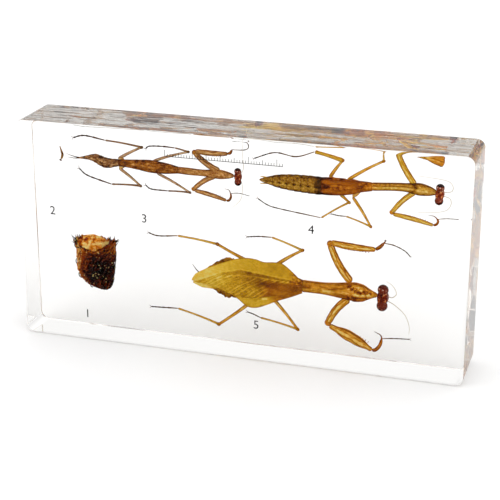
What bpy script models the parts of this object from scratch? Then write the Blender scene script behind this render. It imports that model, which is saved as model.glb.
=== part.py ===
"""Insect in resin block: the clear cast block that holds the specimens.

The block stands upright on one long narrow face, so that its two large faces are
seen from the front and the back. Everything else in the object, such as the insects
and the plain numbers beside them, is sealed inside the casting.

Frame: origin at the centre of the face that it stands on, X along the length,
Y through the thickness (the large face at -Y is the front), +Z up. Metres.
"""

import bmesh
import bpy

MM = 0.001

# Driving dimensions
BLOCK_LENGTH = 160 * MM
BLOCK_THICKNESS = 23 * MM
BLOCK_HEIGHT = 80 * MM
CORNER_RADIUS = 3 * MM  # the four edges that run through the thickness
FRONT_EDGE_RADIUS = 1.2 * MM  # round the front face, as the mould leaves it
BACK_EDGE_RADIUS = 0.4 * MM  # round the back face, which is only eased by polishing

# Steps that each rounded edge turns through 90 degrees in
CORNER_STEPS = 12
FRONT_EDGE_STEPS = 10
BACK_EDGE_STEPS = 5

SAME_PLANE = 0.01 * MM  # a vertex this close to a face's plane lies in it

RESIN_COLOUR = (0.96, 0.97, 0.95, 1.0)
RESIN_ROUGHNESS = 0.02
RESIN_IOR = 1.5


def clear_scene():
    for obj in list(bpy.data.objects):
        bpy.data.objects.remove(obj, do_unlink=True)


def make_collection(name):
    collection = bpy.data.collections.new(name)
    bpy.context.scene.collection.children.link(collection)
    return collection


def make_resin():
    """Clear polished casting resin."""
    material = bpy.data.materials.new("resin")
    material.use_nodes = True
    shader = material.node_tree.nodes["Principled BSDF"]
    shader.inputs["Base Color"].default_value = RESIN_COLOUR
    shader.inputs["Metallic"].default_value = 0.0
    shader.inputs["Roughness"].default_value = RESIN_ROUGHNESS
    shader.inputs["IOR"].default_value = RESIN_IOR
    shader.inputs["Transmission Weight"].default_value = 1.0
    return material


def runs_through_thickness(edge):
    along = edge.verts[1].co - edge.verts[0].co
    return abs(along.y) > BLOCK_THICKNESS / 2


def lies_at(edge, y):
    return all(abs(vertex.co.y - y) < SAME_PLANE for vertex in edge.verts)


def round_edges(shape, edges, radius, steps):
    bmesh.ops.bevel(
        shape,
        geom=edges,
        offset=radius,
        offset_type="OFFSET",
        segments=steps,
        profile=0.5,
        affect="EDGES",
    )


def make_block(collection, material):
    """The casting: a box with a rounded outline, and with its front and back rims rounded."""
    shape = bmesh.new()
    bmesh.ops.create_cube(shape, size=1)
    bmesh.ops.scale(shape, vec=(BLOCK_LENGTH, BLOCK_THICKNESS, BLOCK_HEIGHT), verts=shape.verts)

    corners = [edge for edge in shape.edges if runs_through_thickness(edge)]
    round_edges(shape, corners, CORNER_RADIUS, CORNER_STEPS)
    front_rim = [edge for edge in shape.edges if lies_at(edge, -BLOCK_THICKNESS / 2)]
    round_edges(shape, front_rim, FRONT_EDGE_RADIUS, FRONT_EDGE_STEPS)
    back_rim = [edge for edge in shape.edges if lies_at(edge, BLOCK_THICKNESS / 2)]
    round_edges(shape, back_rim, BACK_EDGE_RADIUS, BACK_EDGE_STEPS)

    mesh = bpy.data.meshes.new("resin_block")
    shape.to_mesh(mesh)
    shape.free()
    mesh.materials.append(material)
    mesh.shade_smooth()
    block = bpy.data.objects.new("resin_block", mesh)
    block.location.z = BLOCK_HEIGHT / 2
    collection.objects.link(block)
    return block


def main():
    clear_scene()
    collection = make_collection("insect_in_resin_block")
    make_block(collection, make_resin())


main()
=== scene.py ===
"""Looks of the insect in resin block: the insects, the egg case and the plain numbers that are
sealed in the clear casting, the finish of the resin, a pale floor, studio light and the camera.

Lengths are in millimetres until a mesh is made, in the block's frame: x along it, z up it, and
lift, the distance in front of the plane in which the insects lie spread, backs to the front.
A heading is in degrees, anticlockwise from the heads' end as seen from the front.
"""

import math
import random

import bpy
import numpy as np
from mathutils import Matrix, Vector, noise


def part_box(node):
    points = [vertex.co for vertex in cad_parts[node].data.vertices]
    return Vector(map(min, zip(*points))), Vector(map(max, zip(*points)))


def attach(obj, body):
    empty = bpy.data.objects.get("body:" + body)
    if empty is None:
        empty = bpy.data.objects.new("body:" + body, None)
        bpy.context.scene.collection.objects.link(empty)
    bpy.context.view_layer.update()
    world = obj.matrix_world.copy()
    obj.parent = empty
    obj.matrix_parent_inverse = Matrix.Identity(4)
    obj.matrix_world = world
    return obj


MM = 0.001
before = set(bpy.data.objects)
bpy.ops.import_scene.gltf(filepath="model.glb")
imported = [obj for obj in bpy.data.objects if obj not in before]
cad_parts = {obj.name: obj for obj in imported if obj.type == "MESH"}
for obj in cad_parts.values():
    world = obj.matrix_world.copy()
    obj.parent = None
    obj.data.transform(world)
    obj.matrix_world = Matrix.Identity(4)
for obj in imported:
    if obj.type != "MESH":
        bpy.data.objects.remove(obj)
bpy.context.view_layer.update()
block_low, block_high = (Vector(corner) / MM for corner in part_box("resin_block"))

INSECT_DEPTH = 14.0  # from the front face to the plane of the insects
PRINT_DEPTH = 10.5  # from the front face to the printed marks
INSECT_Y = block_low.y + INSECT_DEPTH
PRINT_Y = block_low.y + PRINT_DEPTH
BACKS_FACE = np.array((0.0, -1.0, 0.0))
HEADS_FACE = np.array((1.0, 0.0, 0.0))

dice = random.Random(5)


# ---------------------------------------------------------------- shape helpers


def place(x, z, lift=0.0):
    return np.array((x, INSECT_Y - lift, z))


def places(*spots):
    return [place(*spot) for spot in spots]


def turned(heading):
    angle = math.radians(heading)
    return np.array((math.cos(angle), 0.0, math.sin(angle)))


def chain(start, *steps):
    """The joints of a limb, from steps of (length, heading) or (length, heading, rise)."""
    joints = [np.array(start)]
    for length, heading, *rise in steps:
        joints.append(joints[-1] + length * turned(heading) + sum(rise) * BACKS_FACE)
    return joints


def unit(vectors):
    return vectors / np.maximum(np.linalg.norm(vectors, axis=-1, keepdims=True), 1e-9)


def through(knots, at):
    """Values that run smoothly through (position, value) knots and never overshoot them."""
    where, value = np.array(knots, float).T
    step = np.diff(where)
    rise = np.diff(value) / step
    slope = np.concatenate(([rise[0]], np.zeros(len(rise) - 1), [rise[-1]]))
    for i in range(1, len(rise)):
        if rise[i - 1] * rise[i] > 0:
            slope[i] = 2 * rise[i - 1] * rise[i] / (rise[i - 1] + rise[i])
    i = np.clip(np.searchsorted(where, at, side="right") - 1, 0, len(step) - 1)
    t = np.clip((at - where[i]) / step[i], 0, 1)
    blend = t * t * (3 - 2 * t)
    bend = (t - 2 * t**2 + t**3) * slope[i] + (t**3 - t**2) * slope[i + 1]
    return value[i] * (1 - blend) + value[i + 1] * blend + step[i] * bend


def curve(points, count):
    """Evenly spaced points on a smooth curve through the given ones."""
    points = np.array(points, float)
    ends = [2 * points[0] - points[1]], [2 * points[-1] - points[-2]]
    p = np.concatenate((ends[0], points, ends[1]))
    fine = []
    for i in range(1, len(p) - 2):
        t = np.linspace(0, 1, 24, endpoint=False)[:, None]
        a = 2 * p[i]
        b = p[i + 1] - p[i - 1]
        c = 2 * p[i - 1] - 5 * p[i] + 4 * p[i + 1] - p[i + 2]
        d = 3 * p[i] - p[i - 1] - 3 * p[i + 1] + p[i + 2]
        fine.append((a + b * t + c * t**2 + d * t**3) / 2)
    fine = np.concatenate(fine + [points[-1:]])
    run = np.concatenate(([0], np.cumsum(np.linalg.norm(np.diff(fine, axis=0), axis=1))))
    even = np.linspace(0, run[-1], count)
    return np.stack([np.interp(even, run, fine[:, k]) for k in range(3)], axis=1)


def line_mark(x, y, line, width):
    """1 on a drawn line, fading to 0 across the given width."""
    nearest = np.full(np.broadcast(x, y).shape, np.inf)
    for (x0, y0), (x1, y1) in zip(line, line[1:]):
        dx, dy = x1 - x0, y1 - y0
        t = np.clip(((x - x0) * dx + (y - y0) * dy) / (dx * dx + dy * dy), 0, 1)
        nearest = np.minimum(nearest, np.hypot(x - x0 - t * dx, y - y0 - t * dy))
    return np.exp(-((nearest / width) ** 2))


def hump(value, centre, width):
    return np.exp(-(((value - centre) / width) ** 2))


def ramp_over(value, low, high):
    """0 below low, 1 above high, and smooth between."""
    t = np.clip((value - low) / (high - low), 0, 1)
    return t * t * (3 - 2 * t)


def rough(points, size, octaves=4):
    """Fractal noise from about -1 to 1, for an array of points."""
    flat = (points / size).reshape(-1, 3)
    values = [noise.fractal(Vector(p), 0.9, 2.1, octaves) for p in flat]
    return np.array(values).reshape(points.shape[:-1])


class Spot:
    """Where each point of a swept shape lies: s along it and a across it, b through it, from
    -1 to 1, and the same in millimetres."""

    def __init__(self, s, a, b, along, side, rise):
        self.s, self.a, self.b = s, a, b
        self.along, self.side, self.rise = along, side, rise

    def grain(self):
        """Points in the straightened limb, in millimetres."""
        return np.stack((self.along, self.side, self.rise), axis=-1)


class Skin:
    """The surface of a piece while it is built. Each point has a tone, 0 dark to 1 pale, a
    warmth, 0 olive to 1 amber, a share of lace, and its place in the straightened limb."""

    def __init__(self):
        self.points, self.faces, self.grains = [], [], []
        self.shades = {"tone": [], "warmth": [], "lace": []}
        self.size = 0

    def add_rings(self, points, shades, grain):
        rings, sides = points.shape[:2]
        index = self.size + np.arange(rings * sides).reshape(rings, sides)
        here, ahead = index[:-1], index[1:]
        quads = [here, np.roll(here, -1, axis=1), np.roll(ahead, -1, axis=1), ahead]
        self.faces.extend(np.stack(quads, axis=-1).reshape(-1, 4).tolist())
        self.faces.append(index[0][::-1].tolist())
        self.faces.append(index[-1].tolist())
        self.points.append(points.reshape(-1, 3))
        for store, values in zip(self.shades.values(), (*shades, 0.0)):
            store.append(np.broadcast_to(values, (rings, sides)).ravel())
        self.grains.append(grain.reshape(-1, 3))
        self.size += rings * sides

    def piece(self, name, material):
        mesh = bpy.data.meshes.new(name)
        mesh.from_pydata((np.concatenate(self.points) * MM).tolist(), [], self.faces)
        for title, values in self.shades.items():
            layer = mesh.attributes.new(title, "FLOAT", "POINT")
            layer.data.foreach_set("value", np.concatenate(values).astype(np.float32))
        layer = mesh.attributes.new("grain", "FLOAT_VECTOR", "POINT")
        layer.data.foreach_set("vector", np.concatenate(self.grains).astype(np.float32).ravel())
        mesh.materials.append(material)
        mesh.shade_smooth()
        return in_block(name, mesh)


def in_block(name, mesh):
    piece = bpy.data.objects.new(name, mesh)
    bpy.context.scene.collection.objects.link(piece)
    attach(piece, "root")
    return piece


# Mid tone, painted darker towards both sides as edge shade.
def plain_paint(at):
    return 0.5 - 0.3 * np.abs(at.a) ** 3, 1.0


def sweep(skin, path, width, height, depth=None, sides=14, paint=plain_paint, relief=None,
          face=BACKS_FACE):
    """A closed tapering body along a path. At each ring it reaches width to either side,
    height towards the way its back faces, and depth the other way."""
    rings = len(path)
    width, height = (np.broadcast_to(np.asarray(v, float), rings) for v in (width, height))
    depth = height if depth is None else np.broadcast_to(np.asarray(depth, float), rings)
    ahead = unit(np.gradient(path, axis=0))
    aside = unit(np.cross(face, ahead))
    upward = np.cross(ahead, aside)
    angle = np.arange(sides) * 2 * math.pi / sides
    a, b = np.cos(angle)[None, :], np.sin(angle)[None, :]
    steps = np.linalg.norm(np.diff(path, axis=0), axis=1)
    along = np.concatenate(([0], np.cumsum(steps)))[:, None] + 0 * a
    side = width[:, None] * a
    rise = np.where(b >= 0, height[:, None], depth[:, None]) * b
    at = Spot(along / along[-1, 0], a + 0 * along, b + 0 * along, along, side, rise)
    if relief is not None:
        swell = 1 + relief(at)
        side, rise = side * swell, rise * swell
    points = path[:, None] + side[..., None] * aside[:, None] + rise[..., None] * upward[:, None]
    skin.add_rings(points, paint(at), np.stack((along, side, rise), axis=-1) + 17.0 * len(skin.points))


def rounded(s, start, end):
    """1 along a limb, rounded off to nearly 0 over the given shares of its length."""
    near = np.sqrt(np.clip(1 - (1 - np.minimum(s / start, 1)) ** 2, 0.0004, 1))
    far = np.sqrt(np.clip(1 - (1 - np.minimum((1 - s) / end, 1)) ** 2, 0.0004, 1))
    return near * far


def limb(skin, start, end, knots, flatness=0.85, bow=0.0, sides=14, step=0.25, ends=(0.06, 0.06),
         **more):
    """One straight or gently bowed limb segment, with half widths at shares of its length."""
    start, end = np.array(start), np.array(end)
    run = end - start
    sideways = unit(np.cross(BACKS_FACE, run))
    rings = max(int(np.linalg.norm(run) / step), 10)
    s = (1 - np.cos(np.linspace(0, math.pi, rings))) / 2 * 0.5 + np.linspace(0, 1, rings) * 0.5
    path = start + run * s[:, None] + sideways * (bow * np.sin(math.pi * s))[:, None]
    half = through(knots, s) * rounded(s, *ends)
    sweep(skin, path, half, half * flatness, sides=sides, **more)


def ball(skin, centre, axis, radii, sides=20, rings=18, **more):
    """An egg of radii (along the axis, across, up) round a centre."""
    u = np.cos(np.linspace(math.pi, 0, rings))
    path = np.array(centre) + np.outer(u * radii[0], unit(np.array(axis, float)))
    round_off = np.sqrt(np.clip(1 - u**2, 0.0004, 1))
    sweep(skin, path, radii[1] * round_off, radii[2] * round_off, sides=sides, **more)


def hair(skin, points, start, end, sides=6, rings=40, **more):
    """A fine tapering thread through the points."""
    path = curve(points, rings)
    sweep(skin, path, np.linspace(start, end, rings), np.linspace(start, end, rings), sides=sides,
          **more)


# ---------------------------------------------------------------- materials


STUDIO_STRENGTH = 1.7
PIGMENT_LIFT = 1.08  # brightens every pigment a little, so that the studio can stay dimmer


def tint(red, green, blue, lift=1.0):
    """A display colour, 0 to 255, as the linear colour that shaders take."""
    shares = [level / 255 for level in (red, green, blue)]
    linear = [((v + 0.055) / 1.055) ** 2.4 if v > 10 / 255 else v / 12.92 for v in shares]
    return (*(min(1.0, lift * level) for level in linear), 1.0)


class Graph:
    """A material's node tree, with nodes added by kind and joined by the sockets' names."""

    def __init__(self, name):
        self.material = bpy.data.materials.new(name)
        self.material.use_nodes = True
        self.nodes = self.material.node_tree.nodes
        self.links = self.material.node_tree.links
        self.shader = self.nodes["Principled BSDF"]

    def add(self, kind, settings=(), **inputs):
        node = self.nodes.new("ShaderNode" + kind)
        for key, value in dict(settings).items():
            setattr(node, key, value)
        for key, value in inputs.items():
            by_number = key[0] == "i" and key[1:].isdigit()
            self.feed(node.inputs[int(key[1:]) if by_number else key], value)
        return node

    def feed(self, socket, value):
        if isinstance(value, bpy.types.NodeSocket):
            self.links.new(value, socket)
        else:
            socket.default_value = value

    def attribute(self, name, output="Fac"):
        return self.add("Attribute", {"attribute_name": name}).outputs[output]

    def math(self, operation, first, second, third=0.0):
        return self.add("Math", {"operation": operation}, i0=first, i1=second, i2=third).outputs[0]

    def stretched(self, vector, scale):
        return self.add("Mapping", Vector=vector, Scale=scale).outputs[0]

    def position(self):
        """The place in the object's own frame, in millimetres."""
        return self.stretched(self.add("TexCoord").outputs["Object"], (1 / MM, 1 / MM, 1 / MM))

    def noise(self, vector, scale, detail=3.0, roughness=0.55):
        made = self.add("TexNoise", Vector=vector, Scale=scale, Detail=detail, Roughness=roughness)
        return made.outputs["Fac"]

    def ramp(self, factor, colours, lift=PIGMENT_LIFT):
        node = self.add("ValToRGB", Fac=factor)
        ramp = node.color_ramp
        while len(ramp.elements) < len(colours):
            ramp.elements.new(0.5)
        for i, shade in enumerate(colours):
            ramp.elements[i].position = i / (len(colours) - 1)
            ramp.elements[i].color = tint(*shade, lift)
        return node.outputs["Color"]

    def mix(self, factor, first, second):
        node = self.add("Mix", {"data_type": "RGBA"})
        self.feed(node.inputs[0], factor)
        self.feed(node.inputs[6], first)
        self.feed(node.inputs[7], second)
        return node.outputs[2]

    def bump(self, height, strength, distance):
        made = self.add("Bump", Height=height, Strength=strength, Distance=distance * MM)
        self.links.new(made.outputs["Normal"], self.shader.inputs["Normal"])

    def finish(self, **values):
        for key, value in values.items():
            self.feed(self.shader.inputs[key.replace("_", " ")], value)
        return self.material


SEALED_IOR = 1.12  # of dried cuticle, as seen from inside the resin


def cuticle(name, olive, amber, streaks=0.25, blotches=0.2, blotch_size=1.2, relief=0.05,
            roughness=0.42, lace=0.0):
    """Dried insect skin. The painted tone runs through a dark-to-pale ramp, broken up by grain
    along the limb and by blotches; the painted warmth blends the olive ramp into the amber."""
    graph = Graph(name)
    grain = graph.attribute("grain", "Vector")
    streak = graph.noise(graph.stretched(grain, (0.5, 5.0, 5.0)), 1.0)
    blotch = graph.noise(grain, 1 / blotch_size, detail=5.0, roughness=0.6)
    fine = graph.noise(grain, 9.0, detail=2.0)
    tone = graph.attribute("tone")
    for pattern, share in ((streak, streaks), (blotch, blotches), (fine, 0.08)):
        tone = graph.math("MULTIPLY_ADD", pattern, 2 * share, graph.math("SUBTRACT", tone, share))
    height = graph.math("ADD", streak, fine)
    if lace:
        # Small cells, long in the direction of the veins, between raised pale threads.
        turned_grain = graph.add("Mapping", Vector=grain, Rotation=(0, 0, math.radians(-27)),
                                 Scale=(0.55, 1.3, 0.0))
        cells = graph.add("TexVoronoi", {"feature": "DISTANCE_TO_EDGE"},
                          Vector=turned_grain.outputs[0], Scale=1.0)
        thread = graph.math("SUBTRACT", 1.0, graph.math("MULTIPLY", cells.outputs["Distance"], 7.0))
        thread = graph.math("MULTIPLY", graph.math("MAXIMUM", thread, -0.35), graph.attribute("lace"))
        tone = graph.math("MULTIPLY_ADD", thread, lace, tone)
        height = graph.math("MULTIPLY_ADD", thread, 0.6, height)
    warmth = graph.math("MULTIPLY_ADD", blotch, 0.3,
                        graph.math("SUBTRACT", graph.attribute("warmth"), 0.15))
    warmth = graph.add("Clamp", Value=warmth).outputs[0]
    colour = graph.mix(warmth, graph.ramp(tone, olive), graph.ramp(tone, amber))
    graph.bump(height, 0.5, relief)
    shine = graph.math("MULTIPLY_ADD", blotch, 0.2, roughness - 0.1)
    return graph.finish(
        Base_Color=colour, Roughness=shine, IOR=SEALED_IOR, Subsurface_Weight=0.15,
        Subsurface_Radius=(1.0, 0.45, 0.12), Subsurface_Scale=0.6 * MM,
    )


# ---------------------------------------------------------------- parts of a mantis


def painted_edge_shade(at):
    """1 along both sides of a limb: painted shade, where dried cuticle seen edge on looks darkest."""
    return hump(np.abs(at.b), 0.4, 0.3)


def tube_paint(core=0.85, edge=0.2, stripe=0.0, warmth=1.0):
    """A tube of dried cuticle: painted bright along its middle and painted dark along its sides, as
    light and shade, also dark along its joints, and with a wandering dark crease to either side of the
    middle. Core and edge are the tones of the painted middle and sides."""

    def paint(at):
        tone = core - (core - edge) * painted_edge_shade(at)
        wander = 0.1 * np.sin(0.9 * at.along) + 0.05 * np.sin(2.3 * at.along)
        creases = hump(at.a, -0.36 + wander, 0.16) + 0.8 * hump(at.a, 0.42 - wander, 0.12)
        ends = hump(at.s, 0, 0.05) + hump(at.s, 1, 0.05)
        return tone - stripe * creases - 0.16 * ends, warmth

    return paint


def dark_paint(level=0.12):
    return lambda at: (level + 0 * at.a, 1.0)


TUBE = tube_paint()
THIN = tube_paint(core=0.78, edge=0.34, warmth=0.35)
DUSKY = dark_paint(0.05)


def foot(skin, joints, girth):
    """Five short segments, each flared at its far end, and a pair of claws."""
    path = curve(joints, 60)
    s = np.linspace(0, 1, 60)
    share = np.array((0.0, 0.38, 0.58, 0.74, 0.86, 1.0))
    along = np.clip(np.searchsorted(share, s, side="right") - 1, 0, 4)
    within = (s - share[along]) / (share[along + 1] - share[along])
    half = girth * (0.62 + 0.38 * within**2) * rounded(s, 0.03, 0.03)
    sweep(skin, path, half, half, sides=8, paint=lambda at: (0.26 - 0.26 * at.s + 0 * at.a, 0.2))
    ahead = unit(path[-1] - path[-4])
    aside = np.cross(BACKS_FACE, ahead)
    for hand in (-1, 1):
        tip = path[-1] + ahead * 2.6 * girth
        bend = path[-1] + ahead * 1.6 * girth + aside * hand * 1.6 * girth
        hair(skin, (path[-1], bend, tip + aside * hand * 1.2 * girth), 0.35 * girth, 0.08 * girth,
             rings=10, paint=DUSKY)


def walking_leg(skin, body, joints, girth, knee=0.5, shank=1.0, toe=0.5, warmth=0.7, core=0.78):
    """Coxa, femur, tibia and foot through the joints; girth is the femur's half width, shank
    widens the tibia, and toe is the foot's share of the girth. Knee and core are tones."""
    thin = tube_paint(core=core, edge=0.3, warmth=0.5 * warmth)
    hip, bent, ankle, *toes = joints
    limb(skin, body, hip, ((0, 1.5 * girth), (0.5, 1.7 * girth), (1, 1.1 * girth)),
         ends=(0.2, 0.25), paint=TUBE)
    femur = ((0, 0.85 * girth), (0.12, 1.15 * girth), (0.5, girth), (0.9, 0.8 * girth), (1, 0.9 * girth))
    limb(skin, hip, bent, femur, bow=0.02 * np.linalg.norm(bent - hip),
         paint=tube_paint(0.82, 0.2, 0.2, warmth))
    ball(skin, bent, bent - hip, (1.3 * girth, 1.1 * girth, 1.0 * girth), sides=12, rings=10,
         paint=lambda at: (knee - 0.2 * painted_edge_shade(at), warmth))
    shin = shank * girth
    tibia = ((0, 0.9 * shin), (0.1, 0.72 * shin), (0.85, 0.56 * shin), (1, 0.74 * shin))
    limb(skin, bent, ankle, tibia, bow=-0.015 * np.linalg.norm(ankle - bent), sides=10, paint=thin)
    foot(skin, [ankle] + toes, toe * girth)


def leg_pieces(kind, skins, material):
    for skin, name in zip(skins, ("forelegs", "middle_legs", "hind_legs")):
        skin.piece(kind + "_" + name, material)


def spines(skin, start, end, count, length, lean, spread, girth):
    """A row of small sharp spines on the inner edge of a raptorial leg."""
    run = unit(end - start)
    for i in range(count):
        root = start + (end - start) * (i + 0.5) / count
        size = length * (1.0 if i % 2 else 0.65)
        tip = root + size * unit(lean + 0.35 * run) + spread * BACKS_FACE
        limb(skin, root, tip, ((0, girth), (0.5, 0.6 * girth), (1, 0.12 * girth)), sides=6,
             step=0.2, ends=(0.02, 0.02), paint=lambda at: (0.45 - 0.4 * at.s, 1.0))


def creases(at):
    """Low lengthwise ridges on a grasping leg."""
    return 0.05 * np.cos(7 * np.arctan2(at.b, at.a)) + 0.02 * np.sin(at.along * 1.9)


def foreleg(skin, shoulder, elbow, femur, shin, claw, toes, girth, inner,
            tones=(0.92, 0.2, 0.5, 0.85), belly=1.0):
    """The folded grasping leg: coxa, trochanter, spined femur, hooked tibia and thin foot.
    inner is the side of the femur, +1 or -1, that the tibia closes on."""
    paint = tube_paint(*tones)
    coxa = ((0, 0.95 * girth), (0.12, 1.15 * girth), (0.45, 1.12 * girth), (0.88, girth),
            (1, 0.85 * girth))
    limb(skin, shoulder, elbow, coxa, bow=-0.7 * inner * girth, sides=28, step=0.12,
         ends=(0.08, 0.07), paint=paint, relief=creases)
    ball(skin, elbow, femur[0] - elbow, (1.05 * girth, 0.95 * girth, 0.9 * girth), sides=20,
         rings=14, paint=tube_paint(0.6, 0.3))
    start, end = femur
    shape = ((0, 0.75 * girth), (0.14, 0.92 * girth), (0.4, 1.05 * belly * girth),
             (0.7, 0.95 * belly * girth), (0.92, 0.74 * girth), (1, 0.7 * girth))
    limb(skin, start, end, shape, bow=0.3 * inner * girth, sides=28, step=0.12, ends=(0.05, 0.05),
         paint=paint, relief=creases)
    run = unit(end - start)
    aside = inner * np.cross(BACKS_FACE, run)
    for level in (-0.45, 0.45):
        offset = aside * 0.98 * belly * girth + level * girth * BACKS_FACE
        spines(skin, start + (end - start) * 0.3 + offset, start + (end - start) * 0.88 + offset, 9,
               0.5 * girth, aside, 0.25 * level * girth, 0.12 * girth)
    path = curve((end, *shin), 40)
    s = np.linspace(0, 1, 40)
    half = through(((0, 0.5 * girth), (0.3, 0.56 * girth), (0.8, 0.46 * girth), (1, 0.3 * girth)),
                   s) * rounded(s, 0.08, 0.08)
    sweep(skin, path, half, 0.9 * half, sides=14, paint=tube_paint(0.52, 0.16, 0.3),
          face=BACKS_FACE + 0.3 * HEADS_FACE)
    hair(skin, claw, 0.26 * girth, 0.05 * girth, rings=16, sides=8,
         paint=lambda at: (0.3 - 0.3 * at.s, 1.0))
    foot(skin, toes, 0.21 * girth)


def antenna(skin, points, girth):
    hair(skin, points, girth, 0.4 * girth, sides=6, rings=60, paint=lambda at: (0.75 + 0 * at.a, 0.4))


def head(skin, eyes, centre, width, heading, tone, glint=0.0):
    """A triangular head seen from above: vertex and eyes to the front, mouth to the back."""
    ahead = turned(heading)
    aside = np.cross(BACKS_FACE, ahead)
    half = width / 2
    rings = 40
    s = np.linspace(0, 1, rings)
    climb = np.outer((s - 0.62) * 1.25 * width, BACKS_FACE * 0.55)
    path = np.array(centre) + climb + np.outer((0.62 - s) * 0.1 * width, ahead)
    across = through(((0, 0.1), (0.12, 0.2), (0.4, 0.42), (0.7, 0.68), (0.9, 0.66), (1, 0.4)),
                     s) * half * rounded(s, 0.05, 0.12)
    front = through(((0, 0.12), (0.2, 0.22), (0.55, 0.4), (0.85, 0.4), (1, 0.24)),
                    s) * half * rounded(s, 0.05, 0.12)

    def face_paint(at):
        # Random freckles, lighter and darker; the palest specks are painted glints.
        freckle_and_glint = rough(at.grain(), 0.1 * width, 3)
        level = tone - 0.2 * painted_edge_shade(at) + 0.35 * np.maximum(freckle_and_glint, -0.3)
        return level + 0.4 * ramp_over(freckle_and_glint, 0.3, 0.6), 1.0

    sweep(skin, path, across, front, front * 0.9, sides=32, face=ahead, paint=face_paint)
    for hand in (-1, 1):
        eye = np.array(centre) + aside * hand * half * 0.61 + BACKS_FACE * 0.12 * width
        axis = unit(BACKS_FACE + 0.35 * hand * aside)

        def eye_paint(at):
            reach = 0.25 * hand - 0.25
            # The spark is a painted glint on the lower eye; the pale flecks on both eyes are painted
            # glints too.
            spark = glint * hump(at.a, 0.2, 0.2) * hump(at.b, -0.6, 0.25)
            spark = spark * hump(at.s, 0.65, 0.15) * (hand < 0)
            fleck_and_glint = ramp_over(rough(at.grain(), 0.09 * width, 3), 0.25, 0.6)
            level = 0.7 * tone - (0.1 + 0.4 * glint) * ramp_over(-at.a * hand, reach, reach + 0.5)
            return level + 0.45 * fleck_and_glint + spark, 0.6

        ball(eyes, eye, axis, (0.46 * half, 0.4 * half, 0.4 * half), sides=28, rings=24, face=ahead,
             paint=eye_paint)
        for k in (0.25, 0.4):
            root = path[3] + aside * hand * k * 0.35 * half
            tip = root + aside * hand * 0.2 * half - BACKS_FACE * (k + 0.1) * half - ahead * 0.1 * half
            hair(skin, (root, (root + tip) / 2, tip), 0.05 * half, 0.03 * half, rings=12, paint=THIN)
    for hand in (-1, 0, 1):
        dot = path[int(0.8 * rings)] + ahead * 0.33 * half + aside * hand * 0.12 * half
        dot = dot + BACKS_FACE * (0.06 if hand else 0.0) * half
        ball(eyes, dot, ahead, (0.05 * half,) * 3, sides=8, rings=6, face=BACKS_FACE,
             paint=dark_paint(0.5))


def head_pieces(kind, look, centre, width, heading, tone, feelers, girth, glint=0.0,
                blotches=0.3, blotch_size=0.5):
    """Head, eyes and antennae, as three pieces; look begins the names of their materials."""
    face, eyes, threads = Skin(), Skin(), Skin()
    head(face, eyes, centre, width, heading, tone, glint)
    face.piece(kind + "_head", cuticle(look + "_face", HEAD_RAMP, HEAD_RAMP, blotches=blotches,
                                       blotch_size=blotch_size))
    eyes.piece(kind + "_eyes", eye_material(look + "_eye"))
    for points in feelers:
        antenna(threads, points, girth)
    threads.piece(kind + "_antennae", pale_thread())


def segmented(count, first=0.0, last=1.0, depth=0.05):
    """Overlapping rings of an abdomen: each swells to its far edge and steps down to the next."""

    def relief(at):
        ring = np.clip((at.s - first) / (last - first), 0, 0.9999) * count
        within = ring - np.floor(ring)
        return depth * (within**1.5 - 0.5) * (at.s > first)

    return relief


def ring_lines(at, count, first=0.0, last=1.0):
    ring = np.clip((at.s - first) / (last - first), 0, 0.9999) * count
    within = ring - np.floor(ring)
    return hump(within, 1.0, 0.1) + 0.6 * hump(within, 0.0, 0.07)


def trunk(skin, points, width, height, depth, rings=120, sides=48, **more):
    """A body part on a curved axis, its half sizes given as knots along its length."""
    s = np.linspace(0, 1, rings)
    close = rounded(s, 0.03, 0.03)
    sizes = [through(knots, s) * close for knots in (width, height, depth)]
    sweep(skin, curve(points, rings), *sizes, sides=sides, **more)


# ---------------------------------------------------------------- specimen 5, the adult


def adult_pronotum_paint(at):
    x, side = at.along, at.side
    tone = 0.7 - 0.34 * painted_edge_shade(at)
    for line, width, dark in (
        (((10, 0.2), (14, 0.9), (17.5, 2.3)), 0.42, 0.34),
        (((12, -0.9), (16, -1.9), (19, -2.2)), 0.9, 0.3),
        (((17.5, 1.6), (20, 0.3), (22.5, 0.2)), 0.55, 0.28),
        (((18, -1.9), (23, -1.5)), 0.32, 0.42),
        (((22, 1.0), (24.5, 0.4)), 0.35, 0.35),
        (((0, 0.0), (3, 0.1)), 0.5, 0.35),
        (((0, 0.9), (10, 0.6)), 0.3, 0.14),
    ):
        tone = tone - dark * line_mark(x, side, line, width)
    for line, width, pale in (
        (((8, -0.6), (14, -0.7), (17, -0.5)), 0.42, 0.22),
        (((18.5, -0.6), (22, -0.5), (24, 0.1)), 0.35, 0.3),
        (((18, 2.5), (21.5, 1.9)), 0.45, 0.15),
    ):
        tone = tone + pale * line_mark(x, side, line, width)
    crumple = rough(np.stack((x, side, 0 * x), axis=-1), 0.9, 4)
    patch = line_mark(x, side, ((17.4, 1.4), (21.0, 0.9), (23.5, 0.2)), 1.0)
    patch = patch + line_mark(x, side, ((16.6, -1.9), (19.4, -2.2)), 0.8)
    tone = tone + crumple * (0.1 + 0.55 * np.minimum(patch, 1)) - 0.06 * patch
    warmth = 0.8 + 0.3 * np.minimum(patch, 1) - 0.15 * hump(side, 2.3, 1.0) * (x > 18)
    return tone, warmth + 0.2 * ramp_over(x, 14, 18)


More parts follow.
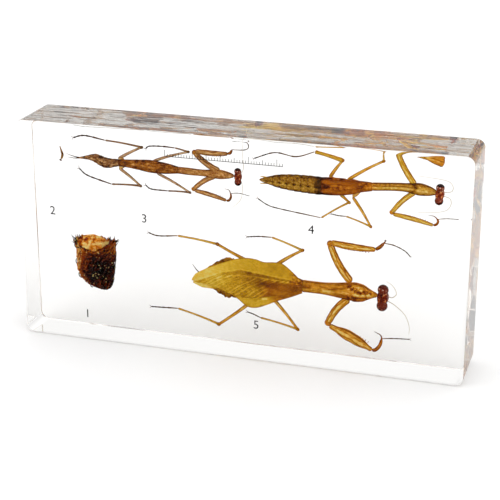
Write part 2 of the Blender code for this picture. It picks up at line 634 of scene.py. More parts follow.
def adult_body(material):
    skin = Skin()
    width = ((0, 2.2), (0.1, 2.1), (0.25, 2.1), (0.42, 2.45), (0.58, 3.0), (0.7, 3.4), (0.8, 3.05),
             (0.88, 2.0), (0.95, 1.1), (1, 0.7))
    height = ((0, 1.5), (0.3, 1.35), (0.6, 1.7), (0.72, 2.0), (0.88, 1.3), (1, 0.6))
    depth = ((0, 1.6), (0.4, 1.4), (0.7, 2.1), (0.9, 1.2), (1, 0.6))

    def keel(at):
        ridge = 0.14 * hump(at.a, 0.0, 0.14) * (at.b > 0)
        groove = 0.1 * line_mark(at.along, at.side, ((17.6, 3.2), (18.6, 0.0), (17.6, -3.2)),
                                 0.35) * (at.b > 0)
        rim = 0.05 * hump(np.abs(at.a), 0.97, 0.05)
        return ridge - groove + rim

    axis = places((21.6, 26.6, 0.2), (30.0, 26.5, 0.1), (40.4, 26.4, 0.0), (48.4, 26.2, 0.2))
    trunk(skin, axis, width, height, depth, rings=190, sides=72, relief=keel, paint=adult_pronotum_paint)

    def thorax_paint(at):
        tone = 0.5 - 0.25 * painted_edge_shade(at) + 0.2 * hump(at.along, 15.5, 1.2) * hump(at.a, -0.35, 0.25)
        return tone - 0.2 * ring_lines(at, 3), 1.0

    axis = places((5.0, 26.4, -0.4), (14.0, 26.5, -0.2), (22.6, 26.6, 0.1))
    trunk(skin, axis, ((0, 3.0), (0.4, 3.5), (0.75, 3.2), (1, 1.9)),
          ((0, 1.9), (0.5, 2.3), (1, 1.4)), ((0, 2.4), (0.5, 2.9), (0.85, 2.6), (1, 1.4)),
          rings=110, relief=segmented(3, depth=0.08), paint=thorax_paint)

    def belly_paint(at):
        # Light and dark mottling towards the sides, its pale parts painted glints; a little painted
        # light along the middle.
        fold_and_glint = rough(at.grain(), 1.3, 3) * np.abs(at.a) ** 3
        tone = 0.48 - 0.2 * ring_lines(at, 8) - 0.12 * painted_edge_shade(at) + 0.1 * hump(at.a, 0, 0.15)
        return tone + 0.5 * fold_and_glint, 0.45 + 0 * at.a

    def belly_relief(at):
        lumps = 0.09 * rough(np.stack((at.along, 0 * at.a, at.a), axis=-1), 1.5, 2) * np.abs(at.a) ** 4
        return segmented(8, depth=0.035)(at) + lumps

    axis = places((8.5, 26.5, -0.4), (0.0, 26.3, -0.5), (-8.0, 26.3, -0.5), (-15.4, 26.0, -0.4))
    trunk(skin, axis, ((0, 3.0), (0.2, 5.6), (0.4, 7.1), (0.55, 7.5), (0.72, 6.0), (0.88, 3.2),
                       (1, 1.0)), ((0, 1.9), (0.5, 2.3), (0.8, 1.9), (1, 0.6)),
          ((0, 2.3), (0.5, 2.7), (0.8, 2.2), (1, 0.7)), rings=150, sides=72, relief=belly_relief,
          paint=belly_paint)
    hair(skin, places((-13.6, 26.6, -0.3), (-16.2, 27.6, -0.2), (-18.2, 30.2, 0.2)), 0.32, 0.07,
         rings=30, paint=DUSKY)
    hair(skin, places((-13.6, 25.4, -0.3), (-16.0, 24.4, -0.6), (-17.2, 23.6, -0.8)), 0.32, 0.08,
         rings=30, paint=DUSKY)
    skin.piece("adult_body", material)


WING_STEPS, WING_SHARES = 240, 100


def wing(skin, edges, lift, arch, paint, thickness=0.1):
    """A thin sheet between an upper and a lower edge, given as (x, z) points from the wing's
    root to its tip, arched over the body and closed all round."""
    upper, lower = (curve([place(x, z) for x, z in edge], WING_STEPS) for edge in edges)
    t = np.concatenate((np.linspace(0, 1, WING_SHARES), np.linspace(1, 0, WING_SHARES)))
    face = np.concatenate((np.full(WING_SHARES, 0.5), np.full(WING_SHARES, -0.5)))
    face[[0, WING_SHARES - 1, WING_SHARES, -1]] *= 0.1
    s = np.linspace(0, 1, WING_STEPS)[:, None]
    points = upper[:, None] * (1 - t[None, :, None]) + lower[:, None] * t[None, :, None]
    x, z = points[..., 0], points[..., 2]
    tone, warmth, lace, relief = paint(x, z, t + 0 * s)
    level = lift + arch * (1 - (2 * t[None] - 1) ** 2) * (1 - 0.55 * s) + relief + thickness * face
    points[..., 1] -= level
    grain = np.stack((x, z, level), axis=-1)
    # Rings run from the root, so the outline turns the other way round the sheet.
    shades = [shade[:, ::-1] for shade in (tone, warmth, lace)]
    skin.add_rings(points[:, ::-1], shades, grain[:, ::-1])


def share_points(start, end, count):
    return [tuple(np.array(start) + (np.array(end) - np.array(start)) * i / (count - 1))
            for i in range(count)]


def vein_fan(x, z, roots, ends, sag, width):
    """Veins of uneven spacing and strength that leave a main vein and bend to the far edge."""
    veins = np.zeros(x.shape)
    for (x0, z0), (x1, z1) in zip(roots, ends):
        x0, x1 = x0 + dice.uniform(-0.3, 0.3), x1 + dice.uniform(-0.5, 0.5)
        middle = ((x0 + x1) / 2, (z0 + z1) / 2 + sag)
        vein = dice.uniform(0.35, 1.0) * line_mark(x, z, ((x0, z0), middle, (x1, z1)), width)
        veins = np.maximum(veins, vein)
    return veins


MAIN_VEIN = ((21.0, 28.7), (14.0, 29.4), (8.0, 30.0), (0.0, 30.7), (-6.7, 29.0), (-12.0, 26.6),
             (-17.0, 24.6))


def upper_wing_paint(x, z, t):
    """Yellow field above the main vein, brown veined field below it, amber towards the root."""
    flat = np.stack((x, z, 0 * x), axis=-1)
    shift, mottle = rough(flat, 3.2, 2), rough(flat + 50, 1.1, 3)
    wx, wz = x + 0.3 * shift, z + 0.1 * mottle
    above = ramp_over(wz - np.interp(-x, [-px for px, _ in MAIN_VEIN], [pz for _, pz in MAIN_VEIN]),
                      -0.25, 0.25)
    radial = line_mark(wx, wz, MAIN_VEIN, 0.3)
    # A painted shadow along the lower side of the main vein.
    vein_shadow = line_mark(wx, wz + 0.75, MAIN_VEIN, 0.35)
    second = line_mark(wx, wz, ((21.0, 27.6), (14.0, 28.2), (6.0, 28.6), (0.0, 28.7), (-8.0, 26.9)), 0.2)
    fan = vein_fan(wx, wz, share_points((17.5, 28.3), (-9.0, 28.3), 15),
                   share_points((3.0, 18.6), (-18.0, 23.4), 15), 0.5, 0.24)
    between = vein_fan(wx, wz, share_points((13.0, 27.4), (-9.5, 27.8), 13),
                       share_points((2.0, 19.6), (-17.0, 23.6), 13), 0.4, 0.12)
    costal = vein_fan(wx, wz, share_points((14.0, 28.6), (-12.0, 27.0), 20),
                      share_points((3.0, 36.0), (-21.0, 29.0), 20), 0.0, 0.18)
    tip, root = ramp_over(-x, -4.0, 13.0), ramp_over(x, 5.0, 12.0) * ramp_over(-z, -28.4, -26.4)
    shade = hump(x, 8.5, 4.5) * hump(z, 26.8, 1.9)
    streak = rough(flat * (0.3, 1.6, 1.0) + 15, 1.0, 2)
    upper = 0.6 + 0.24 * tip + 0.05 * costal + 0.05 * mottle + 0.08 * streak * (0.3 + tip)
    upper = upper - 0.06 * ramp_over(x, 3.0, 12.0)
    patches = rough(flat + 33, 2.6, 2)
    lower = 0.4 + 0.2 * tip - 0.24 * shade + 0.07 * mottle + 0.1 * patches
    lower = lower + (0.38 * fan + 0.16 * between) * (1 - 0.9 * root) * (0.85 + 0.4 * shift)
    tone = lower + (upper - lower) * above + 0.14 * radial + 0.16 * second * (1 - above) - 0.06 * vein_shadow
    tone = tone - 0.22 * hump(t, 0.0, 0.02) + 0.12 * hump(t, 1.0, 0.06) * (x < 0)
    tone = tone - 0.12 * hump(t, 1.0, 0.02)
    shoulder = ramp_over(x, 16.5, 20.5)
    tone = tone + shoulder * (0.4 * rough(flat + 80, 0.8, 3) - 0.1) - 0.03 * root
    warmth = 0.2 + 0.6 * tip * above + 0.2 * (1 - above) + 0.7 * root + 0.7 * shoulder
    lace = (1 - above) * (1 - 0.8 * root) + 0.25 * above
    return tone, np.clip(warmth, 0, 1), lace, 0.16 * radial + 0.09 * fan + 0.04 * costal


def lower_wing_paint(x, z, t):
    """The wing beneath: a yellow-green bulge past the other's edge and a clear pale tip."""
    flat = np.stack((x, z, 0 * x), axis=-1)
    mottle = rough(flat + 20, 1.2, 3)
    bulge = line_mark(x, z, ((11.0, 19.4), (4.5, 18.2), (0.5, 19.6)), 2.2)
    membrane = ramp_over(-x, 8.0, 12.5)
    ribs = vein_fan(x, z, share_points((12.0, 23.0), (-10.0, 24.0), 11),
                    share_points((2.0, 17.0), (-20.0, 21.5), 11), 0.0, 0.16)
    tone = 0.46 + 0.2 * bulge + 0.4 * membrane + 0.12 * mottle + 0.1 * ribs
    tone = tone - 0.4 * hump(t, 1.0, 0.03) * (0.4 + 0.6 * membrane)
    tone = tone + 0.4 * line_mark(x, z, ((9.4, 20.7), (8.0, 20.5)), 0.35)
    root = ramp_over(x, 8.0, 14.0)
    warmth = 0.25 + 0.65 * root + 0.3 * membrane
    return tone - 0.08 * root, warmth, 0.5 * membrane + 0.2, 0.06 * ribs + 0.1 * bulge


def adult_wings(material):
    upper = Skin()
    above = ((22.2, 28.4), (18.6, 31.8), (15.0, 34.4), (12.0, 34.6), (8.4, 34.3), (5.4, 35.0),
             (1.6, 35.1), (-3.0, 33.9), (-8.4, 31.6), (-13.6, 29.1), (-16.6, 27.2), (-18.0, 25.2))
    below = ((22.2, 25.2), (16.0, 23.2), (9.0, 21.2), (3.0, 20.2), (-1.0, 20.4), (-4.4, 21.2),
             (-8.2, 22.7), (-12.0, 23.4), (-16.4, 24.0), (-17.9, 24.6))
    wing(upper, (above, below), 2.15, 1.2, upper_wing_paint)
    lower = Skin()
    above = ((22.2, 27.4), (14.0, 30.5), (6.0, 31.5), (-2.0, 30.5), (-10.0, 27.8), (-17.4, 24.4))
    below = ((22.2, 24.2), (18.0, 22.2), (13.2, 20.2), (10.0, 18.6), (6.4, 17.0), (3.6, 16.6),
             (1.6, 17.2), (-0.6, 18.9), (-3.6, 20.7), (-8.0, 22.0), (-11.6, 22.1), (-14.6, 22.3),
             (-17.8, 23.6))
    wing(lower, (above, below), 1.6, 0.9, lower_wing_paint)
    upper.piece("adult_upper_forewing", material)
    lower.piece("adult_lower_forewing", material)


def adult_legs(material):
    fore, middle, hind = Skin(), Skin(), Skin()
    elbow = place(31.3, 42.9, -0.4)
    foreleg(fore, place(38.9, 29.6, -0.8), elbow, places((31.6, 43.4, -0.2), (47.2, 42.7, 0.6)),
            places((48.6, 43.6, -0.4), (49.4, 44.3, -3.2)),
            places((49.4, 44.3, -3.0), (50.0, 45.2, -4.0), (49.2, 45.0, -5.2)),
            places((49.6, 44.5, -2.6), (53.0, 44.2, -2.2), (56.7, 42.7, -2.0), (58.7, 40.9, -2.0)),
            1.2, -1)
    elbow = place(31.1, 13.8, -0.4)
    foreleg(fore, place(38.2, 23.6, -0.8), elbow, places((31.7, 12.8, -0.2), (47.0, 5.7, 0.2)),
            places((48.3, 6.0, 0.2), (49.7, 7.8, 0.1), (50.3, 10.3, 0.0)),
            places((50.3, 10.1, 0.0), (49.8, 11.6, 0.0), (47.5, 12.7, 0.0)),
            places((50.4, 10.3, -0.3), (54.0, 10.8, -0.4), (59.8, 11.2, -0.6)), 1.2, 1, belly=1.55)
    walking_leg(middle, place(15.5, 28.0, -1.8),
                chain(place(11.6, 32.4, -1.2), (12.1, 35, 0.4), (11.5, 162, -0.2), (4.6, 182),
                      (4.3, 188)), 0.6)
    walking_leg(middle, place(15.5, 25.0, -1.8),
                chain(place(8.6, 22.8, -1.2), (17.4, -48, 0.4), (13.9, 169, -0.2), (2.8, 158),
                      (2.2, 165)), 0.6)
    walking_leg(hind, place(9.0, 28.2, -1.8),
                chain(place(9.2, 30.6, -1.2), (19.8, 157, 0.4), (14.9, 174, -0.2), (7.2, 186),
                      (3.8, 168)), 0.64, knee=0.4)
    walking_leg(hind, place(9.0, 24.8, -1.8),
                chain(place(8.8, 23.6, -1.2), (23.3, -138.6, 0.4), (16.0, 165, -0.2), (5.0, 183),
                      (5.2, 183)), 0.64)
    leg_pieces("adult", (fore, middle, hind), material)


def adult():
    amber = cuticle("adult_cuticle", ADULT_OLIVE, ADULT_AMBER, streaks=0.4, blotches=0.25)
    leg = cuticle("adult_leg_cuticle", ADULT_OLIVE, ADULT_AMBER, streaks=0.5, blotches=0.2)
    tegmen = cuticle("wing_leather", WING_OLIVE, WING_AMBER, streaks=0.1, blotches=0.16,
                     blotch_size=1.2, relief=0.05, lace=0.07)
    adult_body(amber)
    adult_wings(tegmen)
    adult_legs(leg)
    feelers = (
        places((51.6, 26.6, 1.0), (53.6, 26.3, 1.6), (55.0, 28.0, 1.8), (53.6, 30.6, 1.6),
               (51.4, 31.9, 1.4)),
        places((51.6, 24.9, 1.0), (54.6, 23.6, 1.6), (58.1, 20.6, 1.8), (59.8, 16.4, 1.6),
               (59.7, 13.6, 1.2)),
    )
    head_pieces("adult", "adult", place(50.3, 25.9, 0.6), 9.5, -2, 0.45, feelers, 0.15, blotch_size=0.7)


# ---------------------------------------------------------------- specimen 4, half grown


def half_grown():
    body = Skin()

    def belly_paint(at):
        mottle = 0.22 * rough(at.grain() * (0.5, 1.3, 1.3), 0.8, 3)
        dashes = hump(at.a, -0.1, 0.1) * (0.5 + 0.5 * np.cos(2 * math.pi * 9 * at.s))
        tone = 0.5 - 0.16 * ring_lines(at, 9) - 0.5 * dashes + mottle - 0.34 * painted_edge_shade(at)
        tone = tone + 0.16 * hump(at.a, -0.45, 0.3)
        return tone - 0.4 * ramp_over(at.s, 0.86, 0.94), 0.3 + 0 * at.a

    axis = places((6.2, 63.4, 0.0), (13.0, 63.5, 0.1), (21.0, 63.4, 0.2), (28.6, 63.2, 0.2))
    trunk(body, axis, ((0, 0.3), (0.12, 1.2), (0.32, 2.4), (0.6, 3.0), (0.85, 3.15), (1, 3.1)),
          ((0, 0.3), (0.3, 1.3), (0.7, 1.8), (1, 1.8)),
          ((0, 0.3), (0.3, 1.5), (0.7, 2.0), (1, 2.0)), rings=150, relief=segmented(9, depth=-0.05),
          paint=belly_paint)

    def thorax_paint(at):
        crumple = rough(at.grain(), 1.4, 3)
        tone = 0.43 - 0.26 * painted_edge_shade(at) - 0.36 * hump(at.along, 1.6, 1.7)
        tone = tone + 0.26 * crumple + 0.14 * ramp_over(at.s, 0.8, 1.0)
        for line, width, dark in ((((2, 1.4), (9, 0.9), (15, 0.3)), 0.22, 0.2),
                                  (((2, -1.4), (9, -0.8), (15, -0.3)), 0.22, 0.2),
                                  (((0, 0.0), (7, 0.0)), 0.18, 0.22)):
            tone = tone - dark * line_mark(at.along, at.side, line, width)
        tone = tone + 0.3 * line_mark(at.along, at.side, ((7.0, -2.3), (13.0, -1.7)), 0.3)
        return tone, 1.0

    axis = places((27.2, 63.2, 0.2), (35.0, 63.6, 0.3), (41.0, 64.2, 0.3), (45.6, 64.6, 0.2))
    trunk(body, axis, ((0, 3.05), (0.15, 3.2), (0.4, 3.0), (0.7, 2.2), (1, 1.45)),
          ((0, 1.7), (0.4, 2.0), (1, 1.2)), ((0, 2.0), (0.5, 2.3), (1, 1.2)), rings=110,
          relief=segmented(2, depth=0.05), paint=thorax_paint)

    def collar_paint(at):
        tone = 0.62 - 0.44 * painted_edge_shade(at) - 0.24 * hump(at.a, 0.25, 0.12) * (at.s < 0.7)
        # The pale band just off the middle is a painted highlight.
        tone = tone + 0.24 * hump(at.a, -0.15, 0.2)
        tone = tone - 0.3 * line_mark(at.along, at.side, ((13.6, 1.7), (15.2, 0.5), (13.6, -1.4)), 0.5)
        tone = tone + 0.25 * line_mark(at.along, at.side, ((16.0, 0.9), (18.6, 0.2)), 0.25)
        return tone, 0.9 - 0.4 * ramp_over(at.s, 0.0, 0.2)

    axis = places((45.0, 64.6, 0.2), (54.6, 65.3, 0.1), (61.0, 65.1, 0.0), (66.9, 64.5, 0.1))
    trunk(body, axis, ((0, 1.45), (0.25, 1.4), (0.5, 1.5), (0.74, 2.15), (0.88, 1.7), (1, 0.75)),
          ((0, 1.1), (0.5, 1.1), (0.76, 1.4), (1, 0.5)),
          ((0, 1.1), (0.5, 1.1), (0.76, 1.5), (1, 0.5)), rings=140, paint=collar_paint)
    for hand in (-1, 1):
        limb(body, place(10.0, 63.4 + 0.9 * hand, 0.0), place(6.4, 63.4 + 1.3 * hand, 0.1),
             ((0, 0.3), (0.6, 0.22), (1, 0.06)), sides=10, paint=THIN)
    body.piece("half_grown_body", cuticle("half_grown_cuticle", HALF_OLIVE, ADULT_AMBER,
                                          streaks=0.3, blotches=0.4, blotch_size=0.7))

    pads = Skin()
    for hand in (-1, 1):
        for start, length in ((41.0, 9.5), (36.5, 8.5)):
            root = place(start, 63.9 + 1.0 * hand, 1.9)
            tip = place(start - length, 63.4 + 1.7 * hand, 1.9)
            limb(pads, root, tip, ((0, 0.7), (0.4, 1.15), (0.8, 0.9), (1, 0.5)), flatness=0.22,
                 sides=20, ends=(0.15, 0.12), paint=tube_paint(0.44, 0.18, 0.1))
    pads.piece("half_grown_wing_pads",
               cuticle("wing_pad_cuticle", HALF_OLIVE, ADULT_AMBER, streaks=0.25, blotches=0.15))

    fore, middle, hind = Skin(), Skin(), Skin()
    tones = (0.94, 0.24, 0.42, 0.45)
    foreleg(fore, place(59.6, 66.2, -0.4), place(52.6, 78.7, -0.6),
            places((53.2, 78.9, -0.6), (67.0, 75.4, 0.4)),
            places((68.2, 75.2, 0.8), (68.4, 74.8, 1.0)),
            places((68.3, 74.9, 0.8), (66.2, 75.6, 0.8), (64.2, 76.4, 0.6)),
            places((68.6, 76.6, -0.6), (71.4, 77.6, -1.2), (74.2, 77.8, -1.6)), 0.9, -1, tones)
    limb(fore, place(69.0, 74.9, 1.0), place(61.0, 76.7, 0.6),
         ((0, 1.5), (0.25, 1.45), (0.7, 0.75), (1, 0.1)), flatness=0.5, ends=(0.1, 0.02), sides=28,
         paint=tube_paint(0.86, 0.22, 0.5), relief=creases)
    foreleg(fore, place(59.6, 64.0, -0.4), place(52.1, 56.2, -0.2),
            places((52.6, 55.7, 0.0), (66.2, 53.2, 0.3)),
            places((67.2, 53.6, 0.2), (67.7, 54.6, 0.1), (67.3, 55.6, 0.0)),
            places((67.3, 55.5, 0.0), (66.2, 56.3, 0.0), (64.3, 56.4, 0.0)),
            places((67.4, 55.3, -0.2), (70.6, 55.8, -0.3), (74.2, 55.9, -0.4)), 0.8, 1, tones)
    walking_leg(middle, place(41.0, 65.2, -0.9),
                chain(place(36.6, 65.8, -0.8), (14.4, 32.5, 0.3), (2.4, 92, 0.4), (1.2, 95),
                      (0.8, 100)), 0.52)
    walking_leg(middle, place(41.0, 62.8, -0.9),
                chain(place(38.6, 60.2, -0.8), (11.7, -56.5, 0.3), (8.9, 162, 0), (2.6, 180),
                      (2.6, 172)), 0.5)
    walking_leg(hind, place(33.0, 65.0, -0.9),
                chain(place(30.6, 66.2, -0.8), (7.7, 55.5, 0.3), (9.8, 167, 0), (6.9, 199),
                      (7.4, 174), (7.9, 200)), 0.55, shank=2.0)
    walking_leg(hind, place(33.0, 61.8, -0.9),
                chain(place(34.4, 60.6, -0.8), (3.9, -38, 0.3), (11.4, 214, 0), (14.9, 173),
                      (4.4, 167), (4.0, 150)), 0.52)
    leg = cuticle("half_grown_leg_cuticle", ADULT_OLIVE, ADULT_AMBER, streaks=0.4, blotches=0.15)
    leg_pieces("half_grown", (fore, middle, hind), leg)
    feelers = (
        places((69.2, 64.9, 0.6), (71.9, 65.6, 0.9), (71.8, 67.9, 1.0), (69.0, 69.2, 1.0),
               (60.4, 69.8, 0.8)),
        places((69.2, 63.6, 0.6), (71.4, 62.9, 0.9), (71.6, 60.6, 1.0), (69.2, 58.4, 1.0),
               (60.9, 57.2, 0.8)),
    )
    head_pieces("half_grown", "half_grown", place(67.9, 64.2, 0.3), 7.2, -3, 0.62, feelers, 0.11,
                glint=0.9, blotches=0.25)


# ---------------------------------------------------------------- specimen 3, the young nymph


def young_nymph():
    body = Skin()

    def belly_paint(at):
        mottle = 0.45 * rough(np.stack((at.along, at.side, 0 * at.a), axis=-1) * (0.6, 1.2, 1.0), 0.9, 3)
        return 0.5 + mottle - 0.2 * ring_lines(at, 8) - 0.3 * painted_edge_shade(at), 0.3

    axis = places((-59.8, 65.5, 0.2), (-54.0, 66.0, 0.5), (-49.6, 64.6, 0.5), (-44.6, 65.0, 0.2))
    trunk(body, axis, ((0, 0.25), (0.25, 0.9), (0.42, 1.6), (0.66, 1.9), (0.86, 1.5), (1, 1.25)),
          ((0, 0.25), (0.4, 1.1), (0.7, 1.4), (1, 1.0)),
          ((0, 0.25), (0.4, 1.2), (0.7, 1.5), (1, 1.1)), rings=130,
          relief=segmented(8, depth=-0.07), paint=belly_paint)

    def thorax_paint(at):
        crumple = rough(at.grain() * (0.5, 1.0, 1.0), 0.9, 3)
        tone = 0.44 - 0.3 * painted_edge_shade(at) - 0.2 * hump(at.s, 0.05, 0.06)
        tone = tone - 0.14 * ring_lines(at, 3) + 0.3 * crumple
        for line, width, dark in ((((1, 0.3), (8, 0.6), (14, 0.2)), 0.2, 0.14),
                                  (((12, -0.6), (19, -0.4)), 0.2, 0.14)):
            tone = tone - dark * line_mark(at.along, at.side, line, width)
        return tone + 0.16 * line_mark(at.along, at.side, ((6, 0.2), (15, -0.2)), 0.45), 1.0

    axis = places((-45.6, 65.0, 0.2), (-38.0, 64.9, 0.3), (-31.0, 64.6, 0.3), (-22.6, 64.2, 0.2))
    trunk(body, axis, ((0, 1.2), (0.25, 1.6), (0.55, 2.3), (0.75, 2.1), (1, 1.2)),
          ((0, 1.0), (0.5, 1.5), (1, 0.9)), ((0, 1.0), (0.5, 1.7), (1, 0.9)), rings=130,
          relief=segmented(3, depth=0.04), paint=thorax_paint)

    def collar_paint(at):
        crumple = rough(at.grain() * (0.4, 1.0, 1.0), 0.8, 3)
        tone = 0.64 - 0.36 * painted_edge_shade(at) + 0.25 * crumple
        tone = tone - 0.16 * line_mark(at.along, at.side, ((12.6, 1.2), (14.4, 0.2), (12.6, -1.2)), 0.5)
        return tone - 0.1 * hump(at.s, 0.0, 0.1), 0.7

    axis = places((-23.8, 64.2, 0.1), (-15.0, 64.0, 0.1), (-8.2, 64.0, 0.0), (-2.6, 63.9, 0.1))
    trunk(body, axis, ((0, 1.25), (0.2, 1.3), (0.45, 1.2), (0.74, 1.7), (0.9, 1.2), (1, 0.45)),
          ((0, 0.9), (0.5, 0.9), (0.74, 1.1), (1, 0.4)),
          ((0, 0.9), (0.5, 0.9), (0.74, 1.2), (1, 0.4)), rings=130, paint=collar_paint)
    for tip in ((-64.6, 66.6), (-64.2, 65.4)):
        hair(body, places((-59.0, 65.5, 0.2), (-61.6, (tip[1] + 65.4) / 2 - 0.2, 0.2), (*tip, 0.3)),
             0.24, 0.05, rings=24, paint=DUSKY)
    body.piece("young_nymph_body", cuticle("nymph_cuticle", NYMPH_DUSK, NYMPH_AMBER, streaks=0.45,
                                           blotches=0.4, blotch_size=0.8))

    fore, middle, hind = Skin(), Skin(), Skin()
    tones = (0.8, 0.2, 0.42, 0.6)
    foreleg(fore, place(-8.0, 65.0, -0.3), place(-17.0, 71.0, -0.2),
            places((-16.6, 71.5, 0.0), (-4.9, 71.6, 0.4)),
            places((-4.0, 72.0, 0.2), (-3.6, 72.9, -0.4)),
            places((-3.6, 72.8, -0.4), (-3.9, 72.0, -1.4), (-4.4, 71.4, -2.2)),
            places((-3.8, 73.0, -0.4), (0.8, 73.3, -0.4), (2.3, 74.4, -0.4), (1.4, 76.0, -0.3),
                   (-3.2, 76.1, -0.2)), 0.95, -1, tones)
    foreleg(fore, place(-9.6, 63.2, -0.3), place(-17.5, 57.8, -0.2),
            places((-17.0, 57.4, 0.0), (-5.5, 54.9, 0.3)),
            places((-4.6, 55.0, 0.2), (-3.9, 56.2, 0.1), (-4.0, 57.6, 0.0)),
            places((-4.0, 57.5, 0.0), (-4.7, 58.7, 0.0), (-6.3, 59.0, 0.0)),
            places((-4.0, 57.5, -0.2), (-1.0, 57.8, -0.3), (2.4, 57.2, -0.4)), 0.78, 1, tones)
    dusky = {"knee": 0.4, "shank": 1.1, "toe": 0.7, "warmth": 0.0, "core": 0.5}
    walking_leg(middle, place(-29.6, 65.3, -0.8),
                chain(place(-32.4, 66.4, -0.6), (13.9, 19, 0.3), (4.9, 168, 0), (4.7, 178),
                      (4.7, 184), (1.6, 215)), 0.46, **dusky)
    walking_leg(middle, place(-29.6, 63.8, -0.8),
                chain(place(-31.0, 62.3, -0.6), (13.5, -26, 0.3), (8.0, 181, 0), (6.2, 179),
                      (2.4, 150)), 0.46, **dusky)
    walking_leg(hind, place(-43.0, 65.8, -0.6),
                chain(place(-45.2, 66.2, -0.5), (10.2, 29, 0.3), (13.6, 174, 0), (7.8, 172),
                      (4.4, 194)), 0.5, **dusky)
    walking_leg(hind, place(-43.0, 64.2, -0.6),
                chain(place(-45.0, 62.9, -0.5), (9.8, -36, 0.3), (10.8, 182, 0), (9.3, 165),
                      (4.0, 144)), 0.5, **dusky)
    leg = cuticle("nymph_leg_cuticle", NYMPH_DUSK, NYMPH_AMBER, streaks=0.4, blotches=0.2)
    leg_pieces("young_nymph", (fore, middle, hind), leg)
    feelers = (
        places((-0.4, 64.6, 0.5), (0.7, 67.0, 0.7), (0.4, 72.0, 0.7), (0.2, 77.2, 0.6)),
        places((-0.4, 63.2, 0.5), (0.3, 60.6, 0.7), (-0.2, 56.0, 0.7), (-3.8, 52.0, 0.6)),
    )
    head_pieces("young_nymph", "nymph", place(-1.2, 63.9, 0.3), 6.2, 1, 0.52, feelers, 0.1, glint=0.7)


# ---------------------------------------------------------------- specimen 2, the hatchling


def hatchling():
    skin = Skin()
    axis = places((-67.1, 69.2), (-66.5, 67.2), (-66.2, 66.0), (-66.8, 64.3))

    def paint(at):
        return 0.4 - 0.2 * ring_lines(at, 9) + 0.1 * np.sin(9 * at.s), 0.4

    trunk(skin, axis, ((0, 0.12), (0.3, 0.3), (0.7, 0.46), (1, 0.2)),
          ((0, 0.12), (0.5, 0.5), (1, 0.25)), ((0, 0.12), (0.5, 0.5), (1, 0.25)), rings=70,
          sides=20, relief=segmented(9, depth=0.08), paint=paint)
    ball(skin, place(-67.0, 64.0), (-0.4, 0.0, -1.0), (0.3, 0.5, 0.34), sides=14, rings=10,
         paint=dark_paint(0.2))
    for i, share in enumerate((0.5, 0.62, 0.76)):
        root = place(-66.3 - 0.4 * share, 69.2 - 5.0 * share, -0.3)
        for hand in (-1, 1):
            knee = root + np.array((0.25, 0.5 + 0.2 * hand, -0.9))
            toe = knee + np.array((-0.5, 0.4, 1.0 + 0.2 * i))
            hair(skin, (root, knee, toe), 0.07, 0.03, rings=16, paint=THIN)
    skin.piece("hatchling", cuticle("hatchling_cuticle", HALF_OLIVE, NYMPH_AMBER, blotches=0.1))


# ---------------------------------------------------------------- specimen 1, the egg case

CASE_TOP, CASE_BASE = 35.4, 16.6
FRONT_BREAK = 3.4  # how much lower the rim is broken off in front
CASE_WEST = ((0, -53.0), (0.06, -56.4), (0.15, -59.2), (0.27, -61.0), (0.45, -62.0), (0.7, -62.0),
             (0.9, -62.4), (1, -62.6))
CASE_EAST = ((0, -51.4), (0.05, -49.9), (0.15, -49.0), (0.35, -48.2), (0.6, -47.6), (0.85, -47.4),
             (1, -47.4))
CASE_HALF_DEPTH = ((0, 0.5), (0.08, 2.6), (0.3, 4.6), (0.6, 5.4), (1, 5.2))


def case_point(height, angle, out=0.0):
    """A point on the egg case, height from 0 at its base to 1 at its broken rim."""
    west, east = through(CASE_WEST, height), through(CASE_EAST, height)
    middle, half = (west + east) / 2, (east - west) / 2 + out
    depth = through(CASE_HALF_DEPTH, height) + out
    x = middle + half * np.cos(angle)
    z = CASE_BASE + (CASE_TOP - CASE_BASE) * height
    z = z - FRONT_BREAK * np.clip(np.sin(angle), 0, 1) * height**5
    return np.stack((x, INSECT_Y - depth * np.sin(angle), z), axis=-1)


def case_tone(points):
    """Near black in the middle, dark red to the right, amber to the left and at the top."""
    x, z = points[..., 0], points[..., 2]
    west, rim = ramp_over(-x, 56.0, 61.5), ramp_over(z, 29.5, 34.5)
    core = np.exp(-(((x + 52.6) / 6.6) ** 2) - ((z - 23.8) / 7.2) ** 2)
    return 0.27 + 0.36 * west + 0.26 * rim - 0.4 * core


STRANDS, RIM_FRAYS, GLINT_BUBBLES = 1100, 170, 110


def strand(skin, path, start, end, level, sides=5):
    girth = np.linspace(start, end, len(path))
    sweep(skin, path, girth, 0.6 * girth, sides=sides, paint=lambda at: (level + 0 * at.a, 0.9))


def case_shell():
    skin = Skin()
    height = np.linspace(0, 1, 150)[:, None]
    angle = (np.arange(200) * 2 * math.pi / 200)[None, :]
    smooth = case_point(height + 0 * angle, angle + 0 * height)
    outward = unit(smooth - smooth.mean(axis=1, keepdims=True))
    leaves = np.abs(rough(smooth * (1.0, 1.0, 0.6), 2.2, 5))
    lumps = rough(smooth + 40, 3.6, 3)
    points = smooth + outward * (0.7 * lumps - 1.3 * leaves * np.clip(height * 8, 0, 1))[..., None]
    points[..., 2] += 1.6 * rough(smooth + 9, 2.0, 3) * height**8
    skin.add_rings(points, (case_tone(points) - 0.7 * leaves + 0.14, 0.8), points)
    skin.piece("egg_case_shell", case_material("egg_case_bark", 0.35))


